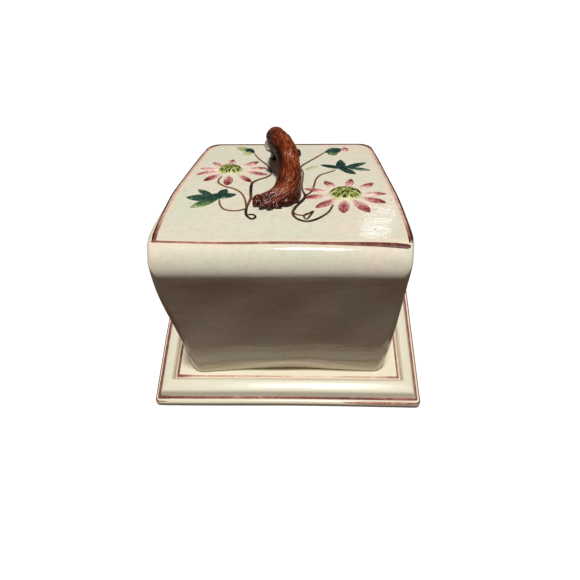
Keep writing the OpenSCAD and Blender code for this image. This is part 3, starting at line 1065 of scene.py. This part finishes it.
def cream_glaze(name, gloss, specular, painted_dimming):
    """The crazed body glaze; painted_dimming is how far its colour is mixed toward a darker cream,
    painted shade that takes back the brightness of a broad sheen.
    """
    g = Graph(bpy.data.materials.new(name))
    clouds = g.noise(20, 4, 0.6)
    mottle = g.noise(300, 4, 0.65)
    colour = g.mix(g.spread(clouds, 0.38, 0.62), srgb(229, 231, 211), srgb(242, 231, 213))
    colour = g.mix(g.spread(mottle, 0.42, 0.7, 0, 0.5), colour, srgb(216, 212, 188))
    crazing = g.spread(g.voronoi(210, "DISTANCE_TO_EDGE"), 0.0, 0.035, 0.16, 0)
    colour = g.mix(crazing, colour, srgb(205, 190, 160))
    colour = g.mix(g.math("MULTIPLY", g.value("blush"), 0.7), colour, srgb(245, 212, 186))
    pit_spots = g.spread(g.voronoi(115), 0.05, 0.09, 1, 0)
    pits = g.math("MULTIPLY", pit_spots, g.spread(g.noise(60, 2), 0.6, 0.66))
    colour = g.mix(g.math("MULTIPLY", pits, 0.7), colour, srgb(120, 95, 70))
    # Painted shade: the colour darkened toward a duller cream by painted_dimming
    colour = g.mix(painted_dimming, colour, srgb(224, 220, 198))
    bare = g.value("bare")
    colour = g.mix(bare, colour, srgb(214, 190, 156))
    dulled = g.spread(g.noise(45, 2), 0.3, 0.7, gloss, gloss + 0.05)
    roughness = g.math("ADD", dulled, g.math("MULTIPLY", bare, 0.6))
    normal = g.bump(g.noise(55, 2), 0.09)
    normal = g.bump(g.noise(170, 4, 0.6, g.stretched(0.16, 1, 1)), 0.1, normal)
    normal = g.bump(g.noise(420, 2), 0.02, normal)
    normal = g.bump(g.math("MULTIPLY", pits, -1.0), 0.12, normal)
    return g.finish(colour, roughness, normal, specular)


def brushed_glaze(name, patch, gloss, *stops):
    """A coloured glaze whose depth follows the stored tone, broken up by brush marks."""
    relief = 0.05
    g = Graph(bpy.data.materials.new(name))
    marks = g.noise(650, 3, 0.65)
    pools = g.noise(190, 2)
    tone = g.math("ADD", g.value("tone"), g.spread(marks, 0.25, 0.75, -patch / 2, patch / 2))
    tone = g.math("ADD", tone, g.spread(pools, 0.3, 0.7, -patch / 3, patch / 3))
    normal = g.bump(g.noise(1500, 2), relief / 3, g.bump(marks, relief))
    roughness = g.spread(pools, 0.3, 0.7, gloss, gloss + 0.14)
    return g.finish(g.ramp(tone, stops), roughness, normal, 0.3)


def bark_glaze(name):
    g = Graph(bpy.data.materials.new(name))
    along_bark = g.node("CombineXYZ", {axis: g.value("fibre_" + axis.lower()) for axis in "XYZ"})
    fibres = g.noise(1.3, 5, 0.65, along_bark.outputs[0])
    patches = g.noise(120, 3, 0.6)
    height = g.math("SUBTRACT", 1.0, g.value("furrow"))
    tone = g.math("ADD", g.math("MULTIPLY", height, 0.18), g.spread(fibres, 0.3, 0.7, -0.36, 0.34))
    # Painted highlight on the bark's top and painted shade on its sides, by how far it faces up and to
    # the right
    tone = g.math("ADD", tone, g.math("MULTIPLY", g.value("crown"), 0.5))
    tone = g.math("SUBTRACT", tone, g.math("MULTIPLY", g.value("root"), 0.32))
    tone = g.math("ADD", tone, g.spread(patches, 0.3, 0.7, -0.24, 0.08))
    colour = g.ramp(tone, [
        (0, 28, 7, 2), (0.28, 70, 22, 8), (0.55, 120, 48, 23), (0.8, 168, 90, 48), (1, 230, 166, 114),
    ])
    pale = g.math("MULTIPLY", g.value("root"), g.spread(patches, 0.5, 0.7, 0, 0.3))
    colour = g.mix(pale, colour, srgb(158, 88, 62))
    normal = g.bump(g.noise(1400, 2), 0.05, g.bump(fibres, 0.5))
    return g.finish(colour, g.spread(fibres, 0.3, 0.7, 0.1, 0.24), normal)


# Brushed glazes: how patchy, how rough, and the stops of the colour as position, red, green, blue
BRUSHED = {
    "rose_glaze": (
        0.6, 0.22, (0, 236, 212, 198), (0.3, 218, 164, 158), (0.6, 168, 90, 94), (0.85, 124, 46, 58),
        (1, 82, 26, 30),
    ),
    "seed_glaze": (
        0.5, 0.42, (0, 226, 222, 184), (0.35, 186, 198, 120), (0.7, 146, 160, 80), (1, 104, 112, 48),
    ),
    "seed_stroke_glaze": (0.3, 0.12, (0, 84, 88, 36), (0.5, 70, 52, 20), (1, 52, 26, 14)),
    "leaf_glaze": (
        0.6, 0.2, (0, 176, 192, 128), (0.3, 112, 140, 84), (0.6, 48, 86, 70), (0.85, 28, 62, 54),
        (1, 20, 40, 36),
    ),
    "pale_leaf_glaze": (0.4, 0.2, (0, 212, 210, 178), (0.4, 174, 180, 124), (1, 104, 126, 80)),
    "vine_glaze": (
        0.3, 0.24, (0, 154, 112, 78), (0.4, 114, 72, 44), (0.7, 80, 40, 22), (1, 42, 18, 10),
    ),
    "line_glaze": (
        0.4, 0.32, (0, 232, 198, 182), (0.3, 198, 148, 132), (0.6, 158, 100, 88), (1, 92, 40, 36),
    ),
    # The brownish cream of the painted shade line on the plate's inner slope
    "painted_shade_glaze": (0.5, 0.3, (0, 226, 212, 186), (0.6, 196, 182, 154), (1, 166, 146, 120)),
    "twig_end_glaze": (
        0.4, 0.12, (0, 208, 198, 184), (0.4, 156, 138, 124), (0.8, 96, 56, 36), (1, 60, 26, 14),
    ),
}

# The finished materials by name
GLAZES = {name: brushed_glaze(name, *look) for name, look in BRUSHED.items()}
GLAZES["cream_glaze"] = cream_glaze("cream_glaze", gloss=0.06, specular=0.36, painted_dimming=0.0)
# The plate wears the same glaze, rougher and with painted shade darkening its colour
GLAZES["plate_glaze"] = cream_glaze("plate_glaze", gloss=0.21, specular=0.14, painted_dimming=0.7)
GLAZES["bark_glaze"] = bark_glaze("bark_glaze")


# ---------------- the whole dish

def make_dish():
    make_cover()
    make_plate()
    make_plate_lines()
    make_crest_line()
    make_edge_line("edge_painted_line", 2.5, 1.5, 0.15, "line_glaze")
    # A dark line on the roll of the side and back edges: painted shade and painted dark reflection where
    # the edge falls away
    make_edge_line("edge_painted_shade_line", 1.4, 0.9, 0.8, "vine_glaze")
    make_branch()
    make_foot_fillet()
    make_cut_twig()
    make_twig_knot()
    for make_part in (make_petals, make_seed_centre, make_seed_strokes):
        for flower in FLOWERS:
            make_part(flower)
    make_leaves()
    make_vines()


# ---------------- floor, light and camera

def make_floor():
    half = 3.0
    mesh = bpy.data.meshes.new("floor")
    corners = [(-half, -half, 0), (half, -half, 0), (half, half, 0), (-half, half, 0)]
    mesh.from_pydata(corners, [], [(0, 1, 2, 3)])
    g = Graph(bpy.data.materials.new("floor"))
    colour = g.mix(g.noise(3, 2), srgb(247, 247, 246), srgb(243, 243, 242))
    g.shader.inputs["Emission Color"].default_value = (1, 1, 1, 1)
    g.shader.inputs["Emission Strength"].default_value = 0.2
    mesh.materials.append(g.finish(colour, 0.9, g.bump(g.noise(60, 2), 0.02)))
    floor = placed("floor", mesh)
    floor.visible_diffuse = False
    floor.visible_glossy = False


def add_light(name, azimuth, elevation, distance, width, depth, watts, colour):
    """A rectangular softbox aimed at the dish; azimuth 0 is the back and 90 the right."""
    target = (Vector(cad_box[0]) + Vector(cad_box[1])) / 2
    a, e = math.radians(azimuth), math.radians(elevation)
    way = Vector((math.sin(a) * math.cos(e), math.cos(a) * math.cos(e), math.sin(e)))
    light = bpy.data.lights.new(name, "AREA")
    light.shape = "RECTANGLE"
    light.size = width
    light.size_y = depth
    light.energy = watts
    light.color = colour
    obj = placed(name, light)
    obj.location = target + way * distance
    obj.rotation_euler = (-way).to_track_quat("-Z", "Y").to_euler()


def make_world():
    """Warm and dim in front of the dish, paler behind it, as on a wooden table by a pale wall."""
    world = bpy.data.worlds.new("studio")
    bpy.context.scene.world = world
    g = Graph(world, "Generated")
    parts = g.node("SeparateXYZ", {0: g.place})
    backward = g.spread(parts.outputs["Y"], -0.35, 0.75, curve="SMOOTHSTEP")
    background = g.tree.nodes["Background"]
    g.plug(g.mix(backward, (1.0, 0.56, 0.41, 1), (1.0, 0.94, 0.86, 1)), background.inputs["Color"])
    g.plug(g.spread(backward, 0, 1, 0.068, 0.11), background.inputs["Strength"])


def make_camera():
    """The photograph's view: pinhole fitted to the plate's and cover's corners."""
    place = (0.01276, -0.22195, 0.34623)
    yaw, pitch, roll = 3.281, -57.887, -2.562
    data = bpy.data.cameras.new("camera")
    data.lens = 33.73
    data.sensor_width = 36
    data.clip_start = 0.01
    camera = placed("camera", data)
    view = Matrix.Translation(place)
    for angle, axis in ((yaw, "Z"), (90 + pitch, "X"), (roll, "Z")):
        view = view @ Matrix.Rotation(math.radians(angle), 4, axis)
    camera.matrix_world = view
    bpy.context.scene.camera = camera


def make_studio():
    make_floor()
    make_world()
    add_light(
        "key", azimuth=153, elevation=88.1, distance=8, width=0.75, depth=0.5, watts=640,
        colour=(1.0, 0.985, 0.955),
    )
    add_light(
        "window", azimuth=9.6, elevation=6.2, distance=1.573, width=0.09, depth=0.035, watts=0.07,
        colour=(0.85, 0.92, 1.0),
    )
    make_camera()
    bpy.context.scene.view_settings.view_transform = "Standard"


make_dish()
make_studio()
